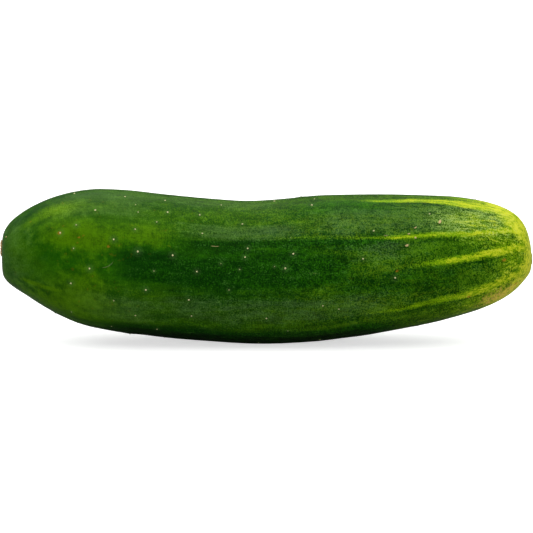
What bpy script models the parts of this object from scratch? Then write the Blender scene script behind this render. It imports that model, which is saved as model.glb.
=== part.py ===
"""Cucumber: one whole fruit that lies on its belly on a small flat spot.

Metres, +Z up. The stem end is at -X and the blossom end at +X, the resting plane is Z = 0,
and the origin is the middle of the length on that plane. Angles around the fruit are in
degrees, 0 towards -Y and 90 up.
"""
import math
import random

import bmesh
import bpy
import numpy as np
from mathutils import Matrix, Vector

MM = 0.001

# Driving dimensions, in millimetres
LENGTH = 200.0
STEM_SCAR_DIAMETER = 5.6
STEM_SCAR_HEIGHT = 34.9
BLOSSOM_SCAR_DIAMETER = 4.0
BLOSSOM_SCAR_HEIGHT = 31.9
SCAR_ROOT = 3.0
FLAT_SPOT_DEPTH = 0.4
WART_ROOT_RADIUS = 2.8
WART_TIP_RADIUS = 0.7
WART_HEIGHT = 0.5
WART_ROOT = 1.0
WART_SIDES = 6

# Sections along the fruit: distance from the stem end, height of the section's middle above
# the resting plane and radius. The fruit bends up a little towards both ends.
SECTIONS = (
    (0.5, 33.5, 0.0),
    (0.6, 33.4, 4.6),
    (1.1, 33.5, 8.0),
    (3.0, 33.9, 11.0),
    (8.0, 34.3, 15.0),
    (18.0, 33.7, 20.7),
    (32.0, 32.4, 25.4),
    (50.0, 30.5, 26.9),
    (76.0, 27.8, 26.8),
    (96.0, 26.8, 26.9),
    (120.0, 28.3, 27.3),
    (142.0, 30.0, 26.0),
    (164.0, 32.0, 23.7),
    (182.0, 33.6, 19.9),
    (192.5, 34.4, 15.0),
    (197.6, 34.0, 9.3),
    (199.5, 32.0, 3.5),
    (199.7, 31.8, 0.0),
)

# Blunt ribs that run from end to end: angle around, height and half width
RIBS = (
    (36.0, 0.60, 3.2),
    (98.0, 0.35, 5.0),
    (168.0, 0.45, 4.5),
    (238.0, 0.35, 5.0),
    (310.0, 0.45, 5.0),
)
RIB_FADE = 30.0

# Slow unevenness of the surface: waves along the fruit, waves around it, height and phase
SWELLS = (
    (4.0, 2, 0.16, 0.6),
    (6.0, 3, 0.13, 2.1),
    (9.0, 1, 0.09, 4.0),
)

# The warts of the front, placed by hand: distance from the stem end and angle around
MAIN_WARTS = (
    (23, 31), (28, 84), (27, -15), (34, 1), (36, 54), (43, 27), (47, 75), (51, 37),
    (52, 19), (55, -11), (62, 75), (63, 58), (65, 19), (51, -36), (75, 60), (74, 8),
    (91, 52), (71, -16), (83, 78), (93, 29), (92, 22), (107, 12), (110, 23), (100, -30),
    (117, 71), (103, 86), (136, 15), (140, 38), (161, 54), (127, -26), (148, -3), (121, -21),
)
SMALL_WARTS = (
    (28, 17), (29, 38), (27, -48), (42, -56), (43, -24), (51, 64), (52, 55), (58, 5), (59, -51),
    (59, 46), (72, -31), (76, 40), (83, 16), (86, -5), (90, 12), (103, 14), (108, -44), (109, 36),
    (118, 83),
)

# The warts round the back and underneath follow a golden-angle rule, closer together towards
# the stem end
FRONT_ANGLE = 18.0
FRONT_HALF_ANGLE = 80.0
RULE_WARTS = 96
GOLDEN_ANGLE = 137.508
WART_SPREAD = ((14.0, 0.0), (22.0, 0.8), (30.0, 1.0), (110.0, 0.7), (140.0, 0.3), (180.0, 0.1))
WART_GAP = 7.0
WART_JITTER_ALONG = 2.5
WART_JITTER_AROUND = 9.0
WART_SEED = 11

BODY_SEGMENTS = 54
BODY_RINGS = 58

SKIN_COLOUR = (0.040, 0.115, 0.008, 1.0)
SKIN_ROUGHNESS = 0.42


def natural_spline(knots, values):
    """Return a function that reads the natural cubic spline through the values."""
    count = len(knots)
    gaps = np.diff(knots)
    system = np.eye(count)
    right = np.zeros((count, values.shape[1]))
    for i in range(1, count - 1):
        system[i, i - 1:i + 2] = gaps[i - 1], 2.0 * (gaps[i - 1] + gaps[i]), gaps[i]
        slope_after = (values[i + 1] - values[i]) / gaps[i]
        slope_before = (values[i] - values[i - 1]) / gaps[i - 1]
        right[i] = 6.0 * (slope_after - slope_before)
    bends = np.linalg.solve(system, right)

    def read(knot):
        i = int(np.clip(np.searchsorted(knots, knot) - 1, 0, count - 2))
        gap = gaps[i]
        before = knot - knots[i]
        after = knots[i + 1] - knot
        curve = (bends[i] * after ** 3 + bends[i + 1] * before ** 3) / (6.0 * gap)
        line_after = (values[i] / gap - bends[i] * gap / 6.0) * after
        line_before = (values[i + 1] / gap - bends[i + 1] * gap / 6.0) * before
        return curve + line_after + line_before

    return read


def fruit_profile():
    """Return a reader of (distance, middle, radius) by the share of the profile's length."""
    sections = np.array(SECTIONS)
    steps = np.linalg.norm(np.diff(sections[:, [0, 2]], axis=0), axis=1)
    knots = np.concatenate(([0.0], np.cumsum(steps)))
    spline = natural_spline(knots / knots[-1], sections)

    def read(share):
        distance, middle, radius = spline(share)
        return distance, middle, max(radius, 0.0)

    return read


def angle_between(first, second):
    """Return the smallest difference between two angles in degrees."""
    return abs((first - second + 180.0) % 360.0 - 180.0)


def relief(distance, angle, radius):
    """Return how far ribs and unevenness lift the surface, in millimetres."""
    height = 0.0
    for rib_angle, rib_height, rib_width in RIBS:
        offset = math.radians(angle_between(angle, rib_angle)) * radius
        height += rib_height * math.exp(-0.5 * (offset / rib_width) ** 2)
    for waves_along, waves_around, swell, phase in SWELLS:
        along = 2.0 * math.pi * waves_along * distance / LENGTH
        height += swell * math.sin(along + phase) * math.cos(waves_around * math.radians(angle) - phase)
    return height


def surface_point(profile, share, angle):
    """Return the point of the skin at a share of the profile and an angle around."""
    distance, middle, radius = profile(share)
    fade = min(1.0, distance / RIB_FADE, (LENGTH - distance) / RIB_FADE)
    top = relief(distance, 90.0, radius)
    belly = relief(distance, 270.0, radius)
    # The relief is measured from a level that keeps the outline seen from the side
    lean = math.sin(math.radians(angle))
    level = 0.5 * (top + belly) + 0.5 * (top - belly) * lean
    lifted = radius + fade * (relief(distance, angle, radius) - level)
    turn = math.radians(angle)
    return Vector((
        distance - 0.5 * LENGTH,
        -lifted * math.cos(turn),
        middle + lifted * math.sin(turn),
    )) * MM


def share_at(profile, distance):
    """Return the share of the profile whose section lies at a distance from the stem end."""
    low, high = 0.0, 1.0
    for _ in range(40):
        half = 0.5 * (low + high)
        if profile(half)[0] < distance:
            low = half
        else:
            high = half
    return low


def surface_frame(profile, distance, angle):
    """Return a point of the skin and the outward direction there."""
    share = share_at(profile, distance)
    point = surface_point(profile, share, angle)
    along = surface_point(profile, share + 0.004, angle) - surface_point(profile, share - 0.004, angle)
    around = surface_point(profile, share, angle + 2.0) - surface_point(profile, share, angle - 2.0)
    return point, along.cross(around).normalized()


def make_object(name, mesh_builder, material, collection):
    """Make a mesh object from a bmesh builder and put it in a collection."""
    mesh = bpy.data.meshes.new(name)
    builder = bmesh.new()
    mesh_builder(builder)
    builder.to_mesh(mesh)
    builder.free()
    mesh.materials.append(material)
    new_object = bpy.data.objects.new(name, mesh)
    collection.objects.link(new_object)
    return new_object


def make_collection(name):
    """Make a collection in the scene."""
    collection = bpy.data.collections.new(name)
    bpy.context.scene.collection.children.link(collection)
    return collection


def make_skin_material():
    """Make the green skin's material."""
    material = bpy.data.materials.new("cucumber_skin")
    material.use_nodes = True
    shader = material.node_tree.nodes["Principled BSDF"]
    shader.inputs["Base Color"].default_value = SKIN_COLOUR
    shader.inputs["Roughness"].default_value = SKIN_ROUGHNESS
    shader.inputs["Metallic"].default_value = 0.0
    return material


def build_body(profile, material, collection):
    """Make the fruit's body: a sphere whose rings are laid along the profile."""
    def shape(builder):
        bmesh.ops.create_uvsphere(
            builder, u_segments=BODY_SEGMENTS, v_segments=BODY_RINGS, radius=1.0)
        for vertex in builder.verts:
            share = math.acos(max(-1.0, min(1.0, vertex.co.z))) / math.pi
            angle = math.degrees(math.atan2(vertex.co.y, vertex.co.x))
            vertex.co = surface_point(profile, share, angle)

    return make_object("cucumber", shape, material, collection)


def build_wart(profile, place, material, collection):
    """Make one blunt wart, rooted well inside the skin."""
    point, outward = surface_frame(profile, *place)
    tall = (WART_ROOT + WART_HEIGHT) * MM
    centre = point + outward * (0.5 * (WART_HEIGHT - WART_ROOT) * MM)
    turn = outward.to_track_quat("Z", "Y").to_matrix().to_4x4()

    def shape(builder):
        bmesh.ops.create_cone(
            builder, cap_ends=True, segments=WART_SIDES, radius1=WART_ROOT_RADIUS * MM,
            radius2=WART_TIP_RADIUS * MM, depth=tall, matrix=Matrix.Translation(centre) @ turn)

    return make_object("wart", shape, material, collection)


def build_scar(name, face, inward, height, diameter, material, collection):
    """Make the round scar of one end, a short stub along X."""
    depth = SCAR_ROOT + 1.0
    middle = face + inward * 0.5 * depth - 0.5 * LENGTH
    place = Matrix.Translation(Vector((middle, 0.0, height)) * MM)

    def shape(builder):
        bmesh.ops.create_cone(
            builder, cap_ends=True, segments=12, radius1=0.5 * diameter * MM,
            radius2=0.5 * diameter * MM, depth=depth * MM,
            matrix=place @ Matrix.Rotation(math.radians(90.0), 4, "Y"))

    return make_object(name, shape, material, collection)


def rule_wart_places():
    """Return the places that the golden-angle rule gives, with a seeded jitter."""
    draw = random.Random(WART_SEED)
    distances = np.array([distance for distance, _ in WART_SPREAD])
    weights = np.array([weight for _, weight in WART_SPREAD])
    shares = np.concatenate(([0.0], np.cumsum(0.5 * (weights[1:] + weights[:-1]) * np.diff(distances))))
    places = []
    for i in range(RULE_WARTS):
        share = (i + 0.5) / RULE_WARTS * shares[-1]
        distance = float(np.interp(share, shares, distances))
        distance += draw.uniform(-WART_JITTER_ALONG, WART_JITTER_ALONG)
        angle = i * GOLDEN_ANGLE + draw.uniform(-WART_JITTER_AROUND, WART_JITTER_AROUND)
        places.append((distance, angle % 360.0))
    return places


def wart_places(profile):
    """Return every wart's distance and angle: the front's, then the rule's."""
    places = [*MAIN_WARTS, *SMALL_WARTS]
    for distance, angle in rule_wart_places():
        radius = profile(share_at(profile, distance))[2]
        clear = all(
            math.hypot(distance - other, math.radians(angle_between(angle, other_angle)) * radius)
            > WART_GAP
            for other, other_angle in places)
        point, outward = surface_frame(profile, distance, angle)
        lowest = point.z / MM + min(outward.z, 0.0) * WART_HEIGHT
        behind = angle_between(angle, FRONT_ANGLE) > FRONT_HALF_ANGLE
        if behind and clear and lowest > 2.0 * FLAT_SPOT_DEPTH:
            places.append((distance, angle))
    return places


def apply_union(body, collection):
    """Join a collection's objects to the body and remove them."""
    union = body.modifiers.new("growths", "BOOLEAN")
    union.operation = "UNION"
    union.operand_type = "COLLECTION"
    union.collection = collection
    union.solver = "EXACT"
    graph = bpy.context.evaluated_depsgraph_get()
    joined = bpy.data.meshes.new_from_object(body.evaluated_get(graph), depsgraph=graph)
    body.modifiers.remove(union)
    rough = body.data
    body.data = joined
    joined.name = "cucumber"
    bpy.data.meshes.remove(rough)
    for growth in list(collection.objects):
        mesh = growth.data
        bpy.data.objects.remove(growth)
        bpy.data.meshes.remove(mesh)
    bpy.data.collections.remove(collection)


def cut_flat_spot(body, material, cutters):
    """Cut the small flat spot that the fruit rests on."""
    def shape(builder):
        size = 2.0 * LENGTH * MM
        place = Matrix.Translation((0.0, 0.0, -0.5 * size))
        bmesh.ops.create_cube(builder, size=size, matrix=place)

    below = make_object("below_resting_plane", shape, material, cutters)
    below.hide_render = True
    below.display_type = "WIRE"
    cut = body.modifiers.new("flat_spot", "BOOLEAN")
    cut.operation = "DIFFERENCE"
    cut.object = below
    cut.solver = "EXACT"


def main():
    for old in list(bpy.data.objects):
        bpy.data.objects.remove(old)
    fruit = make_collection("cucumber_fruit")
    growths = make_collection("growths")
    cutters = make_collection("cutters")
    material = make_skin_material()
    profile = fruit_profile()

    body = build_body(profile, material, fruit)
    for place in wart_places(profile):
        build_wart(profile, place, material, growths)
    build_scar("stem_scar", 0.0, 1.0, STEM_SCAR_HEIGHT, STEM_SCAR_DIAMETER, material, growths)
    build_scar("blossom_scar", LENGTH, -1.0, BLOSSOM_SCAR_HEIGHT, BLOSSOM_SCAR_DIAMETER,
               material, growths)
    apply_union(body, growths)
    body.data.transform(Matrix.Translation((0.0, 0.0, -FLAT_SPOT_DEPTH * MM)))
    body.data.shade_smooth()
    body.data.set_sharp_from_angle(angle=math.radians(40.0))
    cut_flat_spot(body, material, cutters)


main()
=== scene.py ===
"""The finish of a whole cucumber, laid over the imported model's frame.

Metres, +Z up. The stem end is at -X and the blossom end at +X. Sizes of the fruit are in
millimetres of its own length. Angles around it are in degrees, 0 towards -Y and 90 up.
"""

import math
import random

import bmesh
import bpy
import numpy as np
from bpy.props import FloatProperty, FloatVectorProperty, PointerProperty
from mathutils import Euler, Matrix, Vector, noise


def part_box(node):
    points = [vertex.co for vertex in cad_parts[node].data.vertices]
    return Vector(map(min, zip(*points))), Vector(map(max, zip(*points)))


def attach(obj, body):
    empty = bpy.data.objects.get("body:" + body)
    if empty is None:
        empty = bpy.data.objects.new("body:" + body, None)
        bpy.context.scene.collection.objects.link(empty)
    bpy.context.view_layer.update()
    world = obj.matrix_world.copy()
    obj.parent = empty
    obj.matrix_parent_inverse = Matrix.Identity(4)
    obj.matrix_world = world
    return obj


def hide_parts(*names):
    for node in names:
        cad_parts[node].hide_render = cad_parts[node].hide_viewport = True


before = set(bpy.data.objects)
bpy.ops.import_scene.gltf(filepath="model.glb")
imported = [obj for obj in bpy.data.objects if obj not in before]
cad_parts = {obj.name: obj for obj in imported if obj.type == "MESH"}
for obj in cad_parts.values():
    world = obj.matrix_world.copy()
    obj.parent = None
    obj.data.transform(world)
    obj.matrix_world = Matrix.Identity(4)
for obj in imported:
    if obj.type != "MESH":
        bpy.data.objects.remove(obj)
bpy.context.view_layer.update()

bl_info = {
    "name": "Cucumber Finish",
    "version": (1, 0, 0),
    "blender": (4, 5, 0),
    "location": "View3D > Sidebar > Cucumber",
    "description": "Grows the rind, spine tips and scars of a cucumber, and sets its stage",
    "category": "Object",
}

NODE = "cucumber"
BODY = "root"

# The fruit's own length, as its sections give it, and the size of one of its millimetres
LENGTH = 200.0
NODE_LOW, NODE_HIGH = (Vector(corner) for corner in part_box(NODE))
MM = (NODE_HIGH.x - NODE_LOW.x) / LENGTH
FLAT_SPOT_DEPTH = 0.4

# Sections along the fruit: distance from the stem end, height of the section's middle and radius
SECTIONS = (
    (0.5, 33.5, 0),
    (0.6, 33.4, 4.6),
    (1.1, 33.5, 8),
    (3, 33.9, 11),
    (8, 34.3, 15),
    (18, 33.7, 20.7),
    (32, 32.4, 25.4),
    (50, 30.5, 26.9),
    (76, 27.8, 26.8),
    (96, 26.8, 26.9),
    (120, 28.3, 27.3),
    (142, 30, 26),
    (164, 32, 23.7),
    (182, 33.6, 19.9),
    (192.5, 34.4, 15),
    (197.6, 34, 9.3),
    (199.5, 32, 3.5),
    (199.7, 31.8, 0),
)

# Blunt ribs that run from end to end: angle around, height and half width
RIBS = (
    (36, 0.6, 3.2),
    (98, 0.35, 5),
    (168, 0.45, 4.5),
    (238, 0.35, 5),
    (310, 0.45, 5),
)
RIB_FADE = 30.0

# Slow unevenness of the surface: waves along the fruit, waves around it, height and phase
SWELLS = (
    (4, 2, 0.16, 0.6),
    (6, 3, 0.13, 2.1),
    (9, 1, 0.09, 4),
)

# The warts of the front, listed one by one: distance from the stem end and angle around
MAIN_WARTS = (
    (23, 31), (28, 84), (27, -15), (34, 1), (36, 54), (43, 27), (47, 75), (51, 37),
    (52, 19), (55, -11), (62, 75), (63, 58), (65, 19), (51, -36), (75, 60), (74, 8),
    (91, 52), (71, -16), (83, 78), (93, 29), (92, 22), (107, 12), (110, 23), (100, -30),
    (117, 71), (103, 86), (136, 15), (140, 38), (161, 54), (127, -26), (148, -3), (121, -21),
)
SMALL_WARTS = (
    (28, 17), (29, 38), (27, -48), (42, -56), (43, -24), (51, 64), (52, 55), (58, 5), (59, -51),
    (59, 46), (72, -31), (76, 40), (83, 16), (86, -5), (90, 12), (103, 14), (108, -44), (109, 36),
    (118, 83),
)
BIG_WARTS = ((36, 54), (52, 19), (117, 71))

# The warts round the back and underneath follow a golden-angle rule, closer together towards
# the stem end
FRONT_ANGLE = 18.0
FRONT_HALF_ANGLE = 80.0
RULE_WARTS = 96
GOLDEN_ANGLE = 137.508
# How closely they stand, by distance from the stem end
WART_SPREAD = ((14.0, 0.0), (22.0, 0.8), (30.0, 1.0), (110.0, 0.7), (140.0, 0.3), (180.0, 0.1))
WART_GAP = 7.0
WART_JITTER_ALONG = 2.5
WART_JITTER_AROUND = 9.0
WART_HEIGHT = 0.5
BIG_WART_SIZE = 1.3
MAIN_WART_SIZES = (0.9, 1.15)
OTHER_WART_SIZES = (0.6, 0.95)
WART_SEED = 11
TONE_SEED = 5

# Path of the stripe on the strongest rib. A faint stripe of the same path starts further back
RIB_PATH = ((106, 36.6), (131, 33), (160, 30.5), (176, 32.8), (188, 38), (196, 46))

# Pale stripes: strength, width at the waist, the distance where they are full and turn from lime
# to yellow, then the path as distances and angles around
STRIPES = (
    (1, 3.3, 146, ((126, 78), (150, 76), (165, 75.5), (176, 74), (186, 71), (196, 58))),
    (0.8, 2.4, 172, ((158, 94), (182, 86), (196, 72))),
    (1, 1.3, 168, RIB_PATH),
    (0.42, 1, 116, ((90, 35.6), *RIB_PATH[:4])),
    (0.9, 1.5, 170, ((138, 5), (164, 6.2), (177, 8.8), (188, 12), (196, 20))),
    (0.85, 2.1, 167, ((118, -34.4), (156, -32.6), (172, -31.6), (184, -28.5), (196, -24))),
    (0.6, 2.6, 188, ((150, -60), (176, -57), (188, -52), (196, -45))),
    (0.8, 1.6, 184, ((146, -86), (176, -83), (196, -72))),
    (1, 1.6, 160, ((120, 108), (176, 104), (196, 92))),
    (0.9, 2.4, 166, ((134, 134), (176, 136), (196, 142))),
    (1, 1.2, 172, ((106, 165), (160, 168), (196, 173))),
    (0.9, 2, 176, ((140, 200), (176, 203), (196, 207))),
    (0.9, 1.8, 174, ((126, 236), (176, 238), (196, 241))),
)
STRIPE_WAIST = 160.0
STRIPE_FIRST_WIDTH = 0.7
STRIPE_LATE = 182.0
STRIPE_LATE_WIDTH = 2.0
STRIPE_END = 196.0
STRIPE_LAST_WIDTH = 4.2
STRIPE_TURN = 18.0
# The sway of a stripe's path, in degrees and in radians for each millimetre
STRIPE_SWAY = 0.5
STRIPE_SWAY_RATE = 0.21
# Softness of its edge: in millimetres, as a share of its half width, and more on the upper side
STRIPE_SOFTNESS = 0.80
STRIPE_SPREAD = 0.5
STRIPE_FRAY = 0.35

# Faint warm streaks of the stem end: first and last angle, start, end, width and strength
STREAKS = (
    (-31.5, -24, 4, 32, 0.9, 1),
    (46, 64, 4, 32, 1.8, 0.8),
    (128, 140, 8, 36, 1.4, 0.9),
    (232, 224, 6, 34, 1, 0.9),
)
STREAK_RISE = 8.0
STREAK_FALL = 12.0

# Yellowish patches of the stem half: distance, angle, size along and around, strength
WARM_PATCHES = (
    (24, 31, 8, 4, 0.7),
    (36, 27, 9, 5, 0.75),
    (23, 62, 7, 4, 0.9),
    (38, 62, 7, 3, 0.4),
    (32, -8, 7, 5, 0.5),
    (34, -30, 12, 5, 0.6),
    (57, 33, 7, 3.4, 0.8),
    (70, 58, 16, 4, 0.35),
    (24, -46, 9, 5, 0.4),
    (72, -44, 24, 4, 0.12),
    (14, -54, 10, 4, 0.45),
    (40, 150, 12, 7, 0.7),
    (30, 215, 10, 7, 0.6),
    (64, 176, 8, 4, 0.6),
)

# Healed crusts and scratches: distance, angle, length, width, turn, bend and paleness
CRUSTS = (
    (2.4, 48, 0.7, 0.6, 0, 0, 0.65),
    (164.8, 44.7, 1.9, 0.9, 75, 0.1, 1),
    (155.6, 39.1, 1.2, 0.4, 40, 0.35, 0.8),
    (153.2, 33.6, 1, 0.4, 10, 0, 0.8),
    (155.6, 29.7, 0.7, 0.6, 0, 0, 0.9),
    (152.4, 23.6, 1.3, 0.8, 20, 0.1, 0.7),
    (144.6, 33.5, 1.6, 0.4, 5, 0.2, 0.5),
    (41, 5.4, 4.6, 0.3, 30, 0.25, 0.4),
    (80.6, 30, 3.4, 0.26, -4, 0.05, 0.6),
    (148, 142, 1.7, 0.8, 60, 0.2, 0.9),
    (96, 176, 3.4, 0.34, 14, 0.3, 0.5),
    (132, 214, 1.3, 0.6, 15, 0.1, 0.8),
    (60, 226, 1.1, 0.5, 50, 0, 0.7),
)

# Rusty spots: distance, angle and radius
RUST_SPOTS = (
    (22.7, 31, 0.8),
    (148.7, 2.6, 0.6),
    (188.9, 1, 0.8),
    (175.7, -34.6, 0.7),
    (193.4, -46, 0.7),
    (41, 21, 0.6),
    (30, 27, 0.5),
    (150, 156, 0.7),
    (178, 192, 0.8),
    (64, 205, 0.6),
)

# Where the yellow of the blossom end starts: angle around and distance from the stem end
RIPE_STARTS = (
    (-90, 170), (-60, 174), (-40, 183), (-20, 187), (8, 194), (22, 191),
    (36, 185), (50, 180), (70, 176), (90, 170), (130, 180), (168, 190),
    (200, 191), (235, 184), (270, 170),
)
RIPE_END = 200.0
RIPE_LENGTH = 15.0
# Patches of that yellow: distance, angle, size along and around, strength
RIPE_PATCHES = (
    (22, 60, 7, 3.5, 0.38),
    (177, 48, 11, 6, 0.58),
    (174, -62, 16, 4.5, 0.24),
    (188, 24, 8, 4, 0.3),
    (191, -12, 5, 5, 0.4),
    (183, -44, 12, 5.5, 0.45),
    (180, 120, 11, 6, 0.4),
    (186, 186, 9, 6, 0.35),
    (184, 250, 10, 6, 0.4),
)

# Sun-tanned wash low on the blossom end: distance, angle, size along and around, strength
TAN_PATCHES = (
    (187, -52, 7, 3.6, 0.9),
    (186, 216, 6, 4, 0.6),
)

# A dent: distance, angle, radius and depth, and the painted shade in it
DENTS = ((140.4, 36.5, 2.4, 0.25),)
DENT_SHADE_PATCHES = ((140.6, 34.9, 3.2, 1.1, 1.0),)

# Dark green bands: middle angle, half width, distances where they start and end, strength, and
# more than 1 where it is nearly black. The band at 284 degrees, low on the belly, is painted contact
# shadow
DARK_BANDS = (
    (8, 6, 44, 134, 1),
    (27, 4.5, 72, 122, 0.75),
    (-34, 11, 64, 138, 0.4),
    (-12, 4.5, 54, 120, 0.6),
    (-8, 5, 120, 176, 0.65),
    (84, 5, 100, 140, 0.4),
    (134, 6, 44, 134, 0.8),
    (204, 6, 52, 146, 0.8),
    # Painted contact shadow along the belly, where the fruit rests on the floor
    (284, 12.5, 42, 146, 1.7),
)
DARK_END = (188.0, 196.0)
# The painted shade along a stripe's lower side
STRIPE_SHADE_GAP = 1.1
STRIPE_SHADE_WIDTH = 1.0
STRIPE_SHADE = 0.62

# Saturated green bands, in the same terms as the dark ones
VIVID_BANDS = (
    (12, 9, 16, 124, 1),
    (22, 5, 130, 186, 0.3),
    (68, 5, 112, 150, 0.8),
    (146, 9, 20, 140, 0.9),
    (206, 8, 24, 150, 0.9),
)

# Crests that part a lighter upper side from painted shade on the lower side: side, then the path
SHADED_CRESTS = (
    (1, ((70, 33.2), (92, 35.8), (131, 32.4), (160, 30.6), (180, 33.4))),
    (-1, ((70, 163), (130, 167), (180, 168))),
)
CREST_RANGE = (60.0, 78.0, 140.0, 168.0)
CREST_EDGE = (-0.7, 0.3)
CREST_REACH = 6.0
CREST_SHADE = 1.25

# Waxy bloom, with painted sheen high near the stem end and painted floor reflection low on the front,
# in the same terms as the dark bands
BLOOM_AND_SHEEN_BANDS = (
    (50, 6.5, 118, 192, 0.68),
    (43, 3.2, 70, 114, 0.85),
    # Painted sheen, high near the stem end
    (66, 8, 20, 56, 0.8),
    (0, 20, -14, 10, 0.75),
    # Painted reflection of the floor, low on the front
    (-32, 6, 26, 60, 0.7),
    (20, 3.6, 134, 152, 0.7),
    (86, 6, 14, 106, 0.5),
    # Painted reflection of the floor, low on the front
    (-25, 5, 60, 146, 0.62),
    (120, 6, 90, 176, 0.8),
    (186, 7, 40, 120, 0.6),
    (222, 6, 110, 180, 0.7),
)
# Soft edges of every band: fade at its ends, and where its sides fade, as shares of its half width
BAND_FADE = 12.0
BAND_EDGE = (0.6, 1.5)

# Relief of the fine rind: grain that fades out towards both ends, drawn out along the fruit
ROUGH_RANGE = (2.0, 14.0, 192.0, 199.0)
GRAIN_STRETCH = 0.6
DIMPLE_WAVE = 7.0
DIMPLE_SEED = 1
PORE_WAVE = 1.6
PORE_SEED = 2
MOUND_STEEPNESS = 1.35
SKIN_SEGMENTS = 280
SKIN_RINGS = 332

# Steps of the profile's table, and the steps from a place that give its outward direction
PROFILE_STEPS = 4001
SHARE_STEP = 0.004
ANGLE_STEP = 2.0

# Raggedness of the crusts, and the radius of the skin's curve under them
CRUST_RAG = 0.50
CRUST_RAG_SCALE = 3.0
CRUST_RAG_SHIFT = 3.7
SKIN_CURVE = 25.0

# The scars: place as distance and height, end of the fruit that they face out from, rise above
# the skin, root in it, segments and rings, and how their fibres are drawn out
STEM_SCAR = ((0.75, 35.8), -1.0, 0.7, 2.0, 72, 40)
STEM_FIBRES = 0.4
BLOSSOM_SCAR = ((199.55, 31.9), 1.0, 0.35, 1.5, 60, 32)
BLOSSOM_FIBRES = 0.6
SCAR_RIM_ROUNDNESS = 0.45
SCAR_FACE_ROUNDNESS = 0.5
# Ragged rim of a scar: lobes around, share of the radius and phase
SCAR_RAGS = ((5.0, 0.05, 1.0), (11.0, 0.03, 0.0))

# Spine tips: faces of a dome, and the range of tones of the clear and of the dull ones
TIP_SEGMENTS = 10
TIP_RINGS = 7
CLEAR_TONES = (0.75, 1.0)
DULL_TONES = (0.2, 0.85)

# The stage: the floor as the camera sees it and as the fruit does, its glow and its gap below
# the resting plane, the lean of the lamps in degrees, and the camera's sensor in millimetres
FLOOR_SEEN = (0.92, 0.92, 0.92, 1.0)
FLOOR_CARD = (0.42, 0.42, 0.40, 1.0)
FLOOR_GLOW = 0.60
FLOOR_GAP = 0.00005
OVERHEAD_LEAN = -4.0
FILL_LEAN = 84.0
SENSOR_WIDTH = 36.0


# Properties

def number_value(name, description, default, **kind):
    """A plain number, or one of a kind."""
    return FloatProperty(name=name, description=description, default=default, **kind)


def length_value(name, description, default):
    """A length in metres."""
    return number_value(name, description, default, unit="LENGTH")


def angle_value(name, description, degrees):
    """An angle, given in degrees."""
    return number_value(name, description, math.radians(degrees), subtype="ANGLE")


def colour_value(name, description, red, green, blue):
    """A colour."""
    return FloatVectorProperty(
        name=name, description=description, default=(red, green, blue, 1.0), subtype="COLOR", size=4)


class FruitSizes(bpy.types.PropertyGroup):
    """Sizes of the fine relief and of the small pieces."""

    mound_radius: length_value("Mound Radius", "Radius of the low mound under each spine tip", 0.0019)
    mound_height: length_value("Mound Height", "Height of the low mound under each spine tip", 0.00020)
    dimple_depth: length_value("Dimple Depth", "Depth of the slow dimples of the rind", 0.00014)
    pore_depth: length_value("Pore Depth", "Depth of the fine grain of the rind", 0.00003)
    tip_radius: length_value("Tip Radius", "Radius of a middling spine tip", 0.00031)
    tip_height: length_value("Tip Height", "Height of a middling spine tip", 0.00019)
    crust_height: length_value("Crust Height", "Height of the healed crusts above the skin", 0.00014)
    stem_scar_radius: length_value("Stem Scar Radius", "Radius of the broken stem's stub", 0.0031)
    blossom_scar_radius: length_value("Blossom Scar Radius", "Radius of the blossom's dry scar", 0.0020)


class FruitColours(bpy.types.PropertyGroup):
    """Colours of the rind and of the small pieces."""

    # Also the colour of the painted shade below the crests, along the stripes, in the dent and on the
    # belly
    band_green: colour_value("Band Green", "Darkest green, of the long bands", 0.0016, 0.031, 0.0003)
    deep_green: colour_value("Deep Green", "Deep green of the rind", 0.008, 0.066, 0.0005)
    leaf_green: colour_value("Leaf Green", "Lighter green of the rind's mottling", 0.040, 0.135, 0.0015)
    cool_green: colour_value("Cool Green", "Bluish green of some blotches", 0.024, 0.088, 0.013)
    vivid_green: colour_value(
        "Vivid Green", "Saturated green of the specks in the long bands", 0.020, 0.150, 0.0004)
    speck_green: colour_value(
        "Speck Green", "Colour of the fine light specks and curls", 0.110, 0.225, 0.006)
    # Also the colour of the painted sheen round the warts and in some bloom bands, and of the painted
    # floor reflection
    bloom_grey: colour_value("Bloom Grey", "Greyish green of the waxy bloom", 0.085, 0.165, 0.048)
    pale_bloom: colour_value(
        "Pale Bloom", "Waxy bloom over the mottling of the blossom end", 0.34, 0.46, 0.17)
    stripe_yellow: colour_value(
        "Stripe Yellow", "Pale yellow-green of the stripes", 0.62, 0.68, 0.020)
    ripe_yellow: colour_value("Ripe Yellow", "Yellow-green of the blossom end", 0.75, 0.78, 0.036)
    lime: colour_value(
        "Lime", "Yellowish green of young stripes and of the end's mottling", 0.205, 0.410, 0.002)
    warm_olive: colour_value("Warm Olive", "Yellowish green of the stem half", 0.066, 0.175, 0.0004)
    tan: colour_value("Tan", "Sun-tanned wash low on the blossom end", 0.95, 0.62, 0.130)
    rust: colour_value("Rust", "Orange brown of small spots", 0.34, 0.14, 0.012)
    cork: colour_value("Cork", "Pale tan of healed scars", 0.62, 0.48, 0.22)
    tip_cream: colour_value("Tip Cream", "Pale cream of the spine tips", 0.70, 0.66, 0.34)
    stem_tan: colour_value("Stem Tan", "Tan of the dry stem fibres", 0.66, 0.44, 0.16)
    stem_dark: colour_value("Stem Dark", "Dark brown between the stem fibres", 0.26, 0.13, 0.035)
    blossom_tan: colour_value("Blossom Tan", "Tan of the blossom's scar", 0.50, 0.37, 0.17)
    blossom_dark: colour_value("Blossom Dark", "Dark brown of the blossom's scar", 0.25, 0.16, 0.06)


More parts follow.
